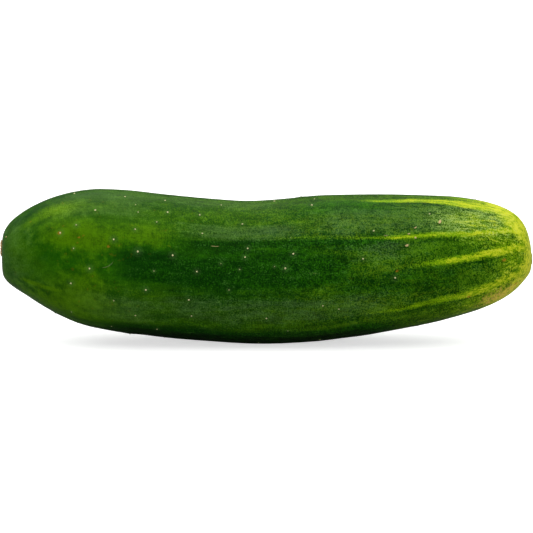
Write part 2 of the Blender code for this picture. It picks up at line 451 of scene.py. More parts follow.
class StageSettings(bpy.types.PropertyGroup):
    """Floor, lamps and camera."""

    floor_size: length_value("Floor Size", "Side of the pale floor", 24.0)
    camera_lens: number_value("Camera Lens", "Focal length in millimetres", 600.0)
    camera_elevation: angle_value("Camera Elevation", "Angle of the camera above level", 10.0)
    target_height: length_value("Target Height", "Height that the camera looks at", 0.02855)
    frame_width: length_value("Frame Width", "Width of the view at the fruit", 0.2004)
    overhead_strength: number_value("Overhead Strength", "Strength of the broad light from above", 3.1)
    overhead_spread: angle_value(
        "Overhead Spread", "Width of the light from above, seen from the fruit", 120.0)
    front_strength: number_value("Front Strength", "Strength of the soft light from the front", 1.5)
    back_strength: number_value("Back Strength", "Strength of the soft light from behind", 0.9)
    fill_spread: angle_value("Fill Spread", "Width of the soft lights, seen from the fruit", 50.0)
    sky_strength: number_value("Sky Strength", "Strength of the even light from all round", 0.10)


# The fruit's form

def natural_spline(knots, values):
    """Return a function that reads the natural cubic spline through the values."""
    count = len(knots)
    gaps = np.diff(knots)
    system = np.eye(count)
    right = np.zeros((count, values.shape[1]))
    for i in range(1, count - 1):
        system[i, i - 1:i + 2] = gaps[i - 1], 2.0 * (gaps[i - 1] + gaps[i]), gaps[i]
        slope_after = (values[i + 1] - values[i]) / gaps[i]
        slope_before = (values[i] - values[i - 1]) / gaps[i - 1]
        right[i] = 6.0 * (slope_after - slope_before)
    bends = np.linalg.solve(system, right)

    def read(places):
        i = np.clip(np.searchsorted(knots, places) - 1, 0, count - 2)
        gap = gaps[i][:, None]
        before = (places - knots[i])[:, None]
        after = (knots[i + 1] - places)[:, None]
        curve = (bends[i] * after ** 3 + bends[i + 1] * before ** 3) / (6.0 * gap)
        line_after = (values[i] / gap - bends[i] * gap / 6.0) * after
        line_before = (values[i + 1] / gap - bends[i + 1] * gap / 6.0) * before
        return curve + line_after + line_before

    return read


def fruit_profile():
    """Return a reader of distances, middles and radii by shares of the profile's length."""
    sections = np.array(SECTIONS)
    steps = np.linalg.norm(np.diff(sections[:, [0, 2]], axis=0), axis=1)
    knots = np.concatenate(([0.0], np.cumsum(steps)))
    spline = natural_spline(knots / knots[-1], sections)

    def read(shares):
        distances, middles, radii = spline(np.atleast_1d(shares)).T
        return distances, middles, np.maximum(radii, 0.0)

    return read


PROFILE = fruit_profile()
PROFILE_SHARES = np.linspace(0.0, 1.0, PROFILE_STEPS)
PROFILE_DISTANCES = PROFILE(PROFILE_SHARES)[0]


def angle_between(first, second):
    """Return the smallest difference between angles in degrees."""
    return np.abs((first - second + 180.0) % 360.0 - 180.0)


def relief(distances, angles, radii):
    """Return how far ribs and unevenness lift the surface, in the fruit's millimetres."""
    height = np.zeros(np.broadcast(distances, angles).shape)
    for rib_angle, rib_height, rib_width in RIBS:
        offset = np.radians(angle_between(angles, rib_angle)) * radii
        height += rib_height * np.exp(-0.5 * (offset / rib_width) ** 2)
    for waves_along, waves_around, swell, phase in SWELLS:
        along = 2.0 * math.pi * waves_along * distances / LENGTH
        around = waves_around * np.radians(angles) - phase
        height += swell * np.sin(along + phase) * np.cos(around)
    return height


def surface_points(shares, angles):
    """Return points of the skin, in metres, at shares of the profile and angles around."""
    distances, middles, radii = PROFILE(shares)
    fade = np.minimum(1.0, np.minimum(distances, LENGTH - distances) / RIB_FADE)
    top = relief(distances, 90.0, radii)
    belly = relief(distances, 270.0, radii)
    turn = np.radians(angles)
    # The relief is measured from a level that keeps the outline seen from the side
    level = 0.5 * (top + belly) + 0.5 * (top - belly) * np.sin(turn)
    lifted = radii + fade * (relief(distances, angles, radii) - level)
    points = np.stack((
        distances - 0.5 * LENGTH,
        -lifted * np.cos(turn),
        middles + lifted * np.sin(turn) - FLAT_SPOT_DEPTH,
    ), axis=1)
    return points * MM


def shares_at(distances):
    """Return the shares of the profile whose sections lie at distances from the stem end."""
    return np.interp(distances, PROFILE_DISTANCES, PROFILE_SHARES)


def surface_frames(places):
    """Return points of the skin and the outward directions there, for (distance, angle) pairs."""
    distances, angles = np.array(places, dtype=float).T
    shares = shares_at(distances)
    along = surface_points(shares + SHARE_STEP, angles) - surface_points(shares - SHARE_STEP, angles)
    around = surface_points(shares, angles + ANGLE_STEP) - surface_points(shares, angles - ANGLE_STEP)
    outward = np.cross(along, around)
    outward /= np.linalg.norm(outward, axis=1)[:, None]
    return surface_points(shares, angles), outward


def rule_wart_places():
    """Return the places that the golden-angle rule gives, with a seeded jitter."""
    draw = random.Random(WART_SEED)
    distances, weights = np.array(WART_SPREAD).T
    areas = 0.5 * (weights[1:] + weights[:-1]) * np.diff(distances)
    shares = np.concatenate(([0.0], np.cumsum(areas)))
    places = []
    for i in range(RULE_WARTS):
        share = (i + 0.5) / RULE_WARTS * shares[-1]
        distance = float(np.interp(share, shares, distances))
        distance += draw.uniform(-WART_JITTER_ALONG, WART_JITTER_ALONG)
        angle = i * GOLDEN_ANGLE + draw.uniform(-WART_JITTER_AROUND, WART_JITTER_AROUND)
        places.append((distance, angle % 360.0))
    return places


def wart_places():
    """Return every wart's distance and angle: the front's, then the rule's."""
    places = [*MAIN_WARTS, *SMALL_WARTS]
    for distance, angle in rule_wart_places():
        radius = PROFILE(shares_at(distance))[2][0]
        clear = all(
            math.hypot(distance - other, math.radians(angle_between(angle, other_angle)) * radius)
            > WART_GAP
            for other, other_angle in places)
        points, outward = surface_frames([(distance, angle)])
        lowest = points[0][2] / MM + min(outward[0][2], 0.0) * WART_HEIGHT
        behind = angle_between(angle, FRONT_ANGLE) > FRONT_HALF_ANGLE
        if behind and clear and lowest > FLAT_SPOT_DEPTH:
            places.append((distance, angle))
    return places


WART_PLACES = wart_places()


def wart_sizes():
    """Return a size for every wart, near 1, with a few big ones."""
    draw = random.Random(TONE_SEED)
    sizes = []
    for i, place in enumerate(WART_PLACES):
        if place in BIG_WARTS:
            sizes.append(BIG_WART_SIZE)
        elif i < len(MAIN_WARTS):
            sizes.append(draw.uniform(*MAIN_WART_SIZES))
        else:
            sizes.append(draw.uniform(*OTHER_WART_SIZES))
    return sizes


# Marks on the skin, as numbers from 0 to 1 at each of its points

def smooth_step(low, high, values):
    """Return 0 below low, 1 above high and a smooth rise between them."""
    share = np.clip((values - low) / (high - low), 0.0, 1.0)
    return share * share * (3.0 - 2.0 * share)


class Skin:
    """Points of the skin: distances from the stem end, angles around and radii there."""

    def __init__(self, distances, angles, radii):
        self.distances = distances
        self.angles = angles
        self.radii = radii

    def across(self, middle):
        """Return how far round from an angle the points lie, with its sign, in millimetres."""
        return np.radians((self.angles - middle + 180.0) % 360.0 - 180.0) * self.radii

    def window(self, begin, full, thin, end):
        """Return 1 between two distances from the stem end, with a smooth rise and fall."""
        return smooth_step(begin, full, self.distances) * (1.0 - smooth_step(thin, end, self.distances))

    def patch(self, distance, angle, size_along, size_around):
        """Return a soft round patch, sizes in millimetres."""
        along = (self.distances - distance) / size_along
        around = self.across(angle) / size_around
        return np.exp(-0.5 * (along ** 2 + around ** 2))


def stripe_paths(skin):
    """Yield each stripe's strength, half width, signed distance across it, upper side and age."""
    for strength, waist, turn, path in STRIPES:
        start, first_angle = path[0]
        sway = STRIPE_SWAY * np.sin(STRIPE_SWAY_RATE * skin.distances + start)
        offset = skin.across(np.interp(skin.distances, *np.array(path).T) + sway)
        stops = (start, STRIPE_WAIST, STRIPE_LATE, STRIPE_END)
        widths = (STRIPE_FIRST_WIDTH, waist, waist * STRIPE_LATE_WIDTH, STRIPE_LAST_WIDTH)
        half_width = 0.5 * np.interp(skin.distances, stops, widths)
        rise = strength * smooth_step(start, turn, skin.distances)
        side = math.copysign(1.0, math.cos(math.radians(first_angle)))
        age = smooth_step(turn - STRIPE_TURN, turn + STRIPE_TURN, skin.distances)
        yield rise, half_width, offset, side, age


def stripe_mark(skin):
    """Return the pale stripes, one half at their edges, and how yellow they are."""
    mark = np.zeros_like(skin.distances)
    yellow = np.zeros_like(skin.distances)
    for rise, half_width, offset, side, age in stripe_paths(skin):
        # The upper side of a stripe frays further out than the lower one
        soft = STRIPE_SOFTNESS + (STRIPE_SPREAD + STRIPE_FRAY * (offset * side > 0.0)) * half_width
        stripe = rise * smooth_step(-1.0, 1.0, (half_width - np.abs(offset)) / soft)
        mark = np.maximum(mark, stripe)
        yellow = np.maximum(yellow, stripe * age)
    return mark, yellow


def warm_mark(skin):
    """Return the yellowish patches and the streaks of the stem half."""
    mark = patches_mark(skin, WARM_PATCHES)
    for first, last, start, end, width, strength in STREAKS:
        offset = skin.across(np.interp(skin.distances, (start, end), (first, last)))
        window = skin.window(start, start + STREAK_RISE, end - STREAK_FALL, end)
        mark = np.maximum(mark, strength * window * np.exp(-0.5 * (offset / width) ** 2))
    return mark


def band_mark(skin, bands):
    """Return soft bands that run along the fruit."""
    mark = np.zeros_like(skin.distances)
    for angle, half_width, start, end, strength in bands:
        inner, outer = (share * half_width for share in BAND_EDGE)
        across = 1.0 - smooth_step(inner, outer, np.abs(skin.across(angle)))
        window = skin.window(start - BAND_FADE, start + BAND_FADE, end - BAND_FADE, end + BAND_FADE)
        mark = np.maximum(mark, strength * window * across)
    return mark


def crest_shade_mark(skin):
    """Return the painted shade below each crest: sharp at the crest, fading downwards."""
    mark = np.zeros_like(skin.distances)
    for side, path in SHADED_CRESTS:
        above = side * skin.across(np.interp(skin.distances, *np.array(path).T))
        edge = 1.0 - smooth_step(*CREST_EDGE, above)
        fade = np.exp(np.minimum(above, 0.0) / CREST_REACH)
        mark = np.maximum(mark, skin.window(*CREST_RANGE) * edge * fade)
    return mark


def dark_green_and_shade_mark(skin):
    """Return the dark green of broad bands, with painted contact shadow on the belly, and painted shade
    below the crests, along each stripe's lower side and in the dent.
    """
    mark = np.maximum(band_mark(skin, DARK_BANDS), CREST_SHADE * crest_shade_mark(skin))
    # Painted shade along the lower side of each stripe
    for rise, half_width, offset, side, _ in stripe_paths(skin):
        across = (offset * side + half_width + STRIPE_SHADE_GAP) / STRIPE_SHADE_WIDTH
        mark = np.maximum(mark, STRIPE_SHADE * rise * np.exp(-0.5 * across ** 2))
    mark = np.maximum(mark, patches_mark(skin, DENT_SHADE_PATCHES))
    return mark * (1.0 - smooth_step(*DARK_END, skin.distances))


def ripe_mark(skin):
    """Return the yellow of the blossom end, which reaches back on the upper and lower sides."""
    turned = (skin.angles + 90.0) % 360.0 - 90.0
    start = np.interp(turned, *np.array(RIPE_STARTS).T)
    length = np.minimum(RIPE_LENGTH, RIPE_END - start)
    cap = smooth_step(0.0, 1.0, (skin.distances - start) / length)
    return np.maximum(cap, patches_mark(skin, RIPE_PATCHES))


def patches_mark(skin, patches):
    """Return soft patches, added up to no more than 1."""
    mark = np.zeros_like(skin.distances)
    for distance, angle, along, around, strength in patches:
        mark += strength * skin.patch(distance, angle, along, around)
    return np.minimum(mark, 1.0)


def spot_mark(skin, spots):
    """Return small round spots, each a distance, an angle and a radius."""
    mark = np.zeros_like(skin.distances)
    for distance, angle, radius in spots:
        mark = np.maximum(mark, skin.patch(distance, angle, radius, 0.8 * radius))
    return mark


def grain(points, wavelength, seed):
    """Return smooth noise from -1 to 1 with features about one wavelength across."""
    shift = Vector((seed * 7.3, seed * 3.1, seed * 5.7))
    scale = 1.0 / (wavelength * MM)
    return np.array([noise.noise(Vector(point) * scale + shift) for point in points])


# Meshes

def finished_object(name, mesh, material, collection_name="cucumber_finish"):
    """Put a mesh in the scene as a finished piece of the fruit."""
    mesh.name = name
    if material is not None and material.name not in mesh.materials:
        mesh.materials.append(material)
    piece = bpy.data.objects.new(name, mesh)
    collection = bpy.data.collections.get(collection_name)
    if collection is None:
        collection = bpy.data.collections.new(collection_name)
        bpy.context.scene.collection.children.link(collection)
    collection.objects.link(piece)
    return piece


def read_points(mesh):
    """Return a mesh's points as an array."""
    points = np.empty(len(mesh.vertices) * 3)
    mesh.vertices.foreach_get("co", points)
    return points.reshape(-1, 3)


def write_points(mesh, points):
    """Move a mesh's points."""
    mesh.vertices.foreach_set("co", points.ravel())
    mesh.update()


def read_normals(mesh):
    """Return the outward directions at a mesh's points."""
    normals = np.empty(len(mesh.vertices) * 3)
    mesh.vertex_normals.foreach_get("vector", normals)
    return normals.reshape(-1, 3)


def mesh_from(builder, name):
    """Turn a builder's shape into a mesh and free the builder."""
    mesh = bpy.data.meshes.new(name)
    builder.to_mesh(mesh)
    builder.free()
    return mesh


def sphere_mesh(segments, rings):
    """Return a unit sphere's mesh, with each point's share from pole to pole and angle around."""
    builder = bmesh.new()
    bmesh.ops.create_uvsphere(builder, u_segments=segments, v_segments=rings, radius=1.0)
    mesh = mesh_from(builder, "ball")
    points = read_points(mesh)
    shares = np.arccos(np.clip(points[:, 2], -1.0, 1.0)) / math.pi
    angles = np.degrees(np.arctan2(points[:, 1], points[:, 0]))
    return mesh, shares, angles


def write_mark(mesh, name, values):
    """Keep a number for each point of a mesh, for its material to read."""
    attribute = mesh.attributes.new(name, "FLOAT", "POINT")
    attribute.data.foreach_set("value", np.asarray(values, dtype=np.float32))


def mound_field(points, radius, height):
    """Return the lift of the low mounds under the spine tips, and how near each point is to one."""
    centres, _ = surface_frames(WART_PLACES)
    lift = np.zeros(len(points))
    nearness = np.zeros(len(points))
    for centre, size in zip(centres, wart_sizes()):
        away = np.linalg.norm(points - centre, axis=1) / (radius * size)
        lift = np.maximum(lift, height * size * np.exp(-0.5 * (MOUND_STEEPNESS * away) ** 2))
        nearness = np.maximum(nearness, np.exp(-0.5 * away ** 2))
    return lift, nearness


def build_skin(sizes, material):
    """Make the fine rind: ribs, swells, mounds, dimples and grain over the body's form."""
    mesh, shares, angles = sphere_mesh(SKIN_SEGMENTS, SKIN_RINGS)
    distances, _, radii = PROFILE(shares)
    skin = Skin(distances, angles, radii)
    write_points(mesh, surface_points(shares, angles))
    points = read_points(mesh)
    normals = read_normals(mesh)

    lift, nearness = mound_field(points, sizes.mound_radius, sizes.mound_height)
    calm = skin.window(*ROUGH_RANGE)
    stretched = points * np.array((GRAIN_STRETCH, 1.0, 1.0))
    lift += calm * sizes.dimple_depth * grain(stretched, DIMPLE_WAVE, DIMPLE_SEED)
    lift += calm * sizes.pore_depth * grain(stretched, PORE_WAVE, PORE_SEED)
    for distance, angle, radius, depth in DENTS:
        lift -= depth * MM * skin.patch(distance, angle, radius, 0.5 * radius)
    points = points + normals * lift[:, None]
    points[:, 2] = np.maximum(points[:, 2], 0.0)
    write_points(mesh, points)

    stripe, yellow = stripe_mark(skin)
    marks = {
        "stripe": stripe,
        "yellow": yellow,
        "ripe": ripe_mark(skin),
        "dark": dark_green_and_shade_mark(skin),
        "vivid": band_mark(skin, VIVID_BANDS),
        "bloom_and_sheen": band_mark(skin, BLOOM_AND_SHEEN_BANDS),
        "warm": warm_mark(skin),
        "tan": patches_mark(skin, TAN_PATCHES),
        "rust": spot_mark(skin, RUST_SPOTS),
        "mound": nearness,
        "along": distances / LENGTH,
    }
    for name, values in marks.items():
        write_mark(mesh, name, values)
    mesh.shade_smooth()
    return finished_object("rind", mesh, material)


def crust_mesh(height):
    """Return all crusts as one mesh: small ragged lumps pressed onto the skin."""
    points, outward = surface_frames([crust[:2] for crust in CRUSTS])
    crusts = bmesh.new()
    tone = crusts.verts.layers.float.new("tip_tone")
    for i, (_, _, length, width, turn, bend, paleness) in enumerate(CRUSTS):
        lump = bmesh.ops.create_icosphere(crusts, subdivisions=4, radius=1.0)["verts"]
        normal = Vector(outward[i])
        hoop = normal.cross(Vector((1.0, 0.0, 0.0))).normalized()
        swing = Matrix.Rotation(math.radians(turn), 3, normal)
        along = swing @ hoop.cross(normal)
        across = swing @ hoop
        for vertex in lump:
            shifted = vertex.co * CRUST_RAG_SCALE + Vector((CRUST_RAG_SHIFT * i, 0.0, 0.0))
            x, y, z = vertex.co * (1.0 + CRUST_RAG * noise.noise(shifted))
            y += bend * length / width * (x * x - 0.4)
            place = along * (0.5 * length * x) + across * (0.5 * width * y)
            sunk = place.dot(hoop) ** 2 / (2.0 * SKIN_CURVE)
            vertex.co = Vector(points[i]) + (place - normal * sunk) * MM + normal * (z * height)
            vertex[tone] = paleness
    mesh = mesh_from(crusts, "crusts")
    mesh.shade_smooth()
    return mesh


def scar_mesh(radius, scar, face_relief):
    """Return a round-edged button on an end of the fruit, facing out along X, with a relief."""
    (distance, middle), side, rise, root, segments, rings = scar
    mesh, shares, angles = sphere_mesh(segments, rings)
    polar = shares * math.pi
    turn = np.radians(angles)
    across = np.sin(polar) ** SCAR_RIM_ROUNDNESS
    tall = np.sign(np.cos(polar)) * np.abs(np.cos(polar)) ** SCAR_FACE_ROUNDNESS
    rim = radius * across * (1.0 + sum(
        share * np.sin(lobes * turn + phase) for lobes, share, phase in SCAR_RAGS))
    face = face_relief(across, turn) * np.abs(tall)
    height = np.where(tall > 0.0, rise * MM * tall + face, root * MM * tall)
    write_points(mesh, np.stack((rim * np.cos(turn), rim * np.sin(turn), height), axis=1))
    facing = Matrix.Rotation(math.radians(90.0) * side, 4, "Y")
    centre = Vector(((distance - 0.5 * LENGTH) * MM, 0.0, (middle - FLAT_SPOT_DEPTH) * MM))
    mesh.transform(Matrix.Translation(centre) @ facing)
    mesh.update()
    mesh.shade_smooth()
    return mesh


def stem_face(across, turn):
    """Return the stub's torn face: a ring of fibre bundles round a sunken pith."""
    bundles = 0.00018 * np.cos(9.0 * turn) * np.exp(-((across - 0.6) / 0.18) ** 2)
    pith = -0.00035 * np.exp(-(across / 0.32) ** 2)
    rim = 0.00012 * np.exp(-((across - 0.88) / 0.09) ** 2) * np.cos(4.0 * turn + 0.7)
    return bundles + pith + rim


def blossom_face(across, turn):
    """Return the blossom scar's face: a shallow cup with a star of dry folds."""
    star = 0.00010 * np.cos(5.0 * turn + 0.4) * across ** 2
    cup = -0.00022 * np.exp(-(across / 0.38) ** 2)
    return star + cup


# Node helpers

def add_node(tree, kind, **settings):
    """Add a node to a tree and set its own options."""
    node = tree.nodes.new(kind)
    node.location = (180.0 * (len(tree.nodes) % 12), -160.0 * (len(tree.nodes) // 12))
    for name, value in settings.items():
        setattr(node, name, value)
    return node


class Value:
    """A result in a node tree, for sums and products."""

    def __init__(self, tree, socket):
        self.tree = tree
        self.socket = socket

    def calc(self, operation, other=0.0):
        """Return the result of a Math node on this value."""
        node = add_node(self.tree, "ShaderNodeMath", operation=operation)
        feed(self.tree, node.inputs[0], self)
        feed(self.tree, node.inputs[1], other)
        return Value(self.tree, node.outputs[0])

    def __add__(self, other):
        return self.calc("ADD", other)

    def __sub__(self, other):
        return self.calc("SUBTRACT", other)

    def __mul__(self, other):
        return self.calc("MULTIPLY", other)

    def __rsub__(self, other):
        return self * -1.0 + other

    __radd__ = __add__
    __rmul__ = __mul__

    def larger(self, other):
        """Return the larger of two values."""
        return self.calc("MAXIMUM", other)

    def ramp(self, low, high):
        """Return 0 below low, 1 above high and a smooth rise between them."""
        node = add_node(self.tree, "ShaderNodeMapRange", interpolation_type="SMOOTHSTEP")
        feed(self.tree, node.inputs["Value"], self)
        feed(self.tree, node.inputs["From Min"], low)
        feed(self.tree, node.inputs["From Max"], high)
        return Value(self.tree, node.outputs["Result"])


def feed(tree, socket, value):
    """Give an input socket a link or a plain value."""
    if isinstance(value, Value):
        tree.links.new(value.socket, socket)
    else:
        socket.default_value = value


def results(tree, node):
    """Return a node's results by name."""
    return {socket.name: Value(tree, socket) for socket in node.outputs}


def mix_colour(tree, share, first, second):
    """Add a colour mix and return its result."""
    node = add_node(tree, "ShaderNodeMix", data_type="RGBA")
    feed(tree, node.inputs[0], share)
    feed(tree, node.inputs[6], first)
    feed(tree, node.inputs[7], second)
    return Value(tree, node.outputs[2])


def noise_value(tree, vector, scale, detail=2.0, roughness=0.5, distortion=0.0):
    """Add a noise texture and return its value."""
    node = add_node(tree, "ShaderNodeTexNoise")
    settings = {"Vector": vector, "Scale": scale, "Detail": detail, "Roughness": roughness,
                "Distortion": distortion}
    for name, value in settings.items():
        feed(tree, node.inputs[name], value)
    return Value(tree, node.outputs[0])


def mark_value(tree, name):
    """Read a number kept on the mesh."""
    return results(tree, add_node(tree, "ShaderNodeAttribute", attribute_name=name))["Fac"]


def fruit_coordinates(tree, stretch=(1.0, 1.0, 1.0)):
    """Return object coordinates in millimetres, squeezed along each axis."""
    coordinates = results(tree, add_node(tree, "ShaderNodeTexCoord"))["Object"]
    mapping = add_node(tree, "ShaderNodeMapping")
    feed(tree, mapping.inputs["Vector"], coordinates)
    mapping.inputs["Scale"].default_value = tuple(share / MM for share in stretch)
    return results(tree, mapping)["Vector"]


def new_group(name, inputs, outputs):
    """Make a shader node group with named sockets and return it with its inputs and outputs."""
    group = bpy.data.node_groups.new(name, "ShaderNodeTree")
    for socket_name, kind in inputs:
        group.interface.new_socket(socket_name, in_out="INPUT", socket_type="NodeSocket" + kind)
    for socket_name, kind in outputs:
        group.interface.new_socket(socket_name, in_out="OUTPUT", socket_type="NodeSocket" + kind)
    given = results(group, add_node(group, "NodeGroupInput"))
    return group, given, add_node(group, "NodeGroupOutput").inputs


def use_group(tree, name, **values):
    """Place a shared group in a tree, feed its inputs and return its results."""
    node = add_node(tree, "ShaderNodeGroup", node_tree=bpy.data.node_groups[name])
    for socket_name, value in values.items():
        feed(tree, node.inputs[socket_name], value)
    return results(tree, node)


# Shared effects

def make_speck_group():
    """Fine light specks: noise above a threshold."""
    group, given, result = new_group(
        "fine_specks",
        (("Vector", "Vector"), ("Scale", "Float"), ("Threshold", "Float"), ("Softness", "Float")),
        (("Mask", "Float"),))
    value = noise_value(group, given["Vector"], given["Scale"], 2.0, 0.55)
    top = given["Threshold"] + given["Softness"]
    feed(group, result["Mask"], value.ramp(given["Threshold"], top))


def make_curl_group():
    """Fine curly lines: the level lines of a distorted noise."""
    group, given, result = new_group(
        "curled_lines",
        (("Vector", "Vector"), ("Scale", "Float"), ("Width", "Float")),
        (("Mask", "Float"),))
    value = noise_value(group, given["Vector"], given["Scale"], 1.5, 0.6, 0.8)
    level = (value - 0.5).calc("ABSOLUTE")
    feed(group, result["Mask"], 1.0 - level.ramp(0.0, given["Width"]))


def make_drift_group():
    """Slow drift between two colours."""
    group, given, result = new_group(
        "colour_drift",
        (("Vector", "Vector"), ("Scale", "Float"), ("First", "Color"), ("Second", "Color")),
        (("Colour", "Color"), ("Share", "Float")))
    share = noise_value(group, given["Vector"], given["Scale"], 4.0, 0.6).ramp(0.3, 0.7)
    feed(group, result["Share"], share)
    feed(group, result["Colour"], mix_colour(group, share, given["First"], given["Second"]))


def new_material(name, roughness, gloss=0.5):
    """Make a material, and the shared groups once. Return it with its tree and shader."""
    if "fine_specks" not in bpy.data.node_groups:
        make_speck_group()
        make_curl_group()
        make_drift_group()
    material = bpy.data.materials.new(name)
    material.use_nodes = True
    tree = material.node_tree
    shader = tree.nodes["Principled BSDF"]
    shader.inputs["Roughness"].default_value = roughness
    shader.inputs["Specular IOR Level"].default_value = gloss
    return material, tree, shader


def add_bump(tree, shader, height, distance, strength):
    """Feed a height to a shader's normal, distance in the fruit's millimetres."""
    bump = add_node(tree, "ShaderNodeBump")
    bump.inputs["Distance"].default_value = distance * MM
    bump.inputs["Strength"].default_value = strength
    feed(tree, bump.inputs["Height"], height)
    feed(tree, shader.inputs["Normal"], results(tree, bump)["Normal"])


# Materials

def make_rind_material(colours):
    """The rind: mottled greens, specks and curls, pale stripes, yellow end and small marks."""
    material, tree, shader = new_material("cucumber_rind", 0.42, 0.035)
    even = fruit_coordinates(tree)
    long = fruit_coordinates(tree, (0.28, 1.0, 1.0))
    streaky = fruit_coordinates(tree, (0.10, 1.0, 1.0))
    hooped = fruit_coordinates(tree, (1.0, 0.30, 0.30))
    dark, vivid, warm, stripe, yellow, ripe, tan, along = (
        mark_value(tree, name)
        for name in ("dark", "vivid", "warm", "stripe", "yellow", "ripe", "tan", "along"))
    blossom_half = along.ramp(0.30, 0.72)
    lively = 0.4 + 0.65 * along.ramp(0.12, 0.42)

    def drift(vector, scale, detail, roughness):
        """Return noise about zero."""
        return noise_value(tree, vector, scale, detail, roughness) - 0.5

    blotch = drift(even, 0.24, 5.0, 0.68)
    swath = drift(long, 0.34, 5.0, 0.68) * lively
    crumble = drift(even, 2.1, 2.0, 0.6) * lively
    brush = drift(streaky, 0.9, 3.0, 0.6) * lively
    hatch = drift(hooped, 1.7, 3.0, 0.6) * lively

    def frayed(mark, crumbs, strokes):
        """Break a mark's edge with crumbs and with strokes along the fruit."""
        return mark + crumbs * crumble + strokes * brush

    def laid(share, over, colour):
        """Lay a colour over another where a share is high."""
        return mix_colour(tree, share, over, colour)

    # Greens: slow drift, cool and warm blotches, dark bands, and painted shade in the same green below
    # the crests, along the stripes, in the dent and on the belly
    ground = use_group(tree, "colour_drift", Vector=long, Scale=0.11,
                       First=colours.deep_green, Second=colours.leaf_green)
    colour = laid(0.75 * vivid, ground["Colour"], colours.deep_green)
    colour = laid(0.15 * vivid, colour, colours.vivid_green)
    cool_share = (blotch - 0.15 * ground["Share"]).ramp(-0.08, 0.14)
    cool_share = cool_share * (1.0 - warm) * (1.0 - 0.8 * vivid)
    colour = laid(0.55 * cool_share, colour, colours.cool_green)
    warm_share = (warm + 1.6 * blotch + 0.7 * hatch).ramp(0.15, 0.95)
    colour = laid(0.9 * warm_share, colour, colours.warm_olive)
    # The dark mark holds painted shade as well as the dark green bands
    dark_share = frayed(dark, 0.7, 0.9).ramp(0.15, 0.95)
    colour = laid(0.88 * dark_share, colour, colours.band_green)

    # Light and dark specks, and curls towards the blossom end
    specks = crumble + 0.7 * swath + 0.3 * hatch
    dark_specks = (-1.0 * specks).ramp(-0.02, 0.16) * (0.4 + 0.4 * blossom_half)
    colour = laid(dark_specks, colour, colours.band_green)
    light_specks = 0.35 + 0.32 * blossom_half + 0.24 * along.ramp(0.76, 0.92)
    light_specks = light_specks * specks.ramp(0.0, 0.18) * (1.0 - 0.45 * dark_share)
    curls = use_group(tree, "curled_lines", Vector=even, Scale=0.52, Width=0.045)["Mask"]
    fine = light_specks.larger(0.75 * curls * blossom_half)
    speck_hue = laid(0.92 * vivid.larger(dark_share), colours.speck_green, colours.vivid_green)
    colour = laid(fine, colour, speck_hue)

    # Waxy bloom in bands, some of them painted sheen and painted floor reflection, and painted sheen
    # round the warts
    bloom_and_sheen = (frayed(mark_value(tree, "bloom_and_sheen"), 2.4, 1.4) + blotch).ramp(0.15, 1.1)
    bloom_and_sheen = bloom_and_sheen * (1.0 - 0.8 * warm)
    wart_sheen_halo = 0.5 * frayed(mark_value(tree, "mound"), 0.6, 0.0).ramp(0.5, 1.1)
    colour = laid(0.42 * bloom_and_sheen.larger(wart_sheen_halo), colour, colours.bloom_grey)

    # Uneven tone: fine hoops, streaks and blotches, and painted shade darker still where the dark mark
    # passes 1, on the belly and below the crests
    tone = 1.0 + 0.45 * hatch + 0.45 * brush + (0.8 + 1.4 * dark_share) * crumble
    tone = tone + blotch + 0.7 * swath - 0.6 * dark.ramp(1.0, 1.7)
    toned = add_node(tree, "ShaderNodeVectorMath", operation="SCALE")
    feed(tree, toned.inputs[0], colour)
    feed(tree, toned.inputs["Scale"], tone.larger(0.3))
    colour = results(tree, toned)["Vector"]

    # Stripes and the blossom end, in three coats: lime, stripe yellow, then ripe yellow
    pale = stripe.larger(ripe)
    lime_share = frayed(pale, 1.4, 0.9).ramp(0.10, 0.85) * pale.ramp(0.02, 0.3)
    colour = laid(0.85 * lime_share, colour, colours.lime)
    gold_share = (frayed(yellow.larger(ripe), 2.2, 3.0) + blotch).ramp(0.30, 1.25)
    colour = laid(0.85 * gold_share * pale.ramp(0.3, 0.7), colour, colours.stripe_yellow)
    ripe_share = (frayed(ripe, 1.0, 1.6) + 1.6 * blotch).ramp(0.55, 1.40)
    colour = laid(0.8 * ripe_share, colour, colours.ripe_yellow)
    haze_share = bloom_and_sheen * ripe.ramp(0.05, 0.4) * specks.ramp(-0.10, 0.16)
    colour = laid(0.52 * haze_share, colour, colours.pale_bloom)
    tan_share = (tan + 2.2 * hatch).ramp(0.3, 1.1) * tan.ramp(0.05, 0.4)
    colour = laid(0.6 * tan_share, colour, colours.tan)

    # Rusty spots, and loose rusty flecks where the rind is warm
    flecks = use_group(tree, "fine_specks", Vector=even, Scale=0.60, Threshold=0.66, Softness=0.06)
    rust_share = frayed(mark_value(tree, "rust"), 0.6, 0.0).ramp(0.35, 0.9)
    rust_share = rust_share.larger(0.4 * flecks["Mask"] * warm)
    colour = laid(0.65 * rust_share, colour, colours.rust)
    feed(tree, shader.inputs["Base Color"], colour)

    # Gloss and fine relief
    feed(tree, shader.inputs["Roughness"], 0.42 + 0.4 * blotch)
    add_bump(tree, shader, noise_value(tree, even, 1.2, 3.0, 0.6) + 0.8 * fine, 0.06, 0.5)
    shader.inputs["IOR"].default_value = 1.4
    return material


def make_crust_material(colours):
    """The crusts: pale corky tissue, greener where it is a scratch."""
    material, tree, shader = new_material("healed_crust", 0.75, 0.1)
    even = fruit_coordinates(tree)
    paleness = mark_value(tree, "tip_tone").ramp(0.4, 0.8)
    tone = mix_colour(tree, paleness, colours.bloom_grey, colours.cork)
    pores = use_group(tree, "fine_specks", Vector=even, Scale=3.2, Threshold=0.52, Softness=0.12)
    colour = mix_colour(tree, 0.35 * pores["Mask"], tone, colours.rust)
    feed(tree, shader.inputs["Base Color"], colour)
    add_bump(tree, shader, noise_value(tree, even, 3.0, 3.0), 0.06, 0.6)
    return material


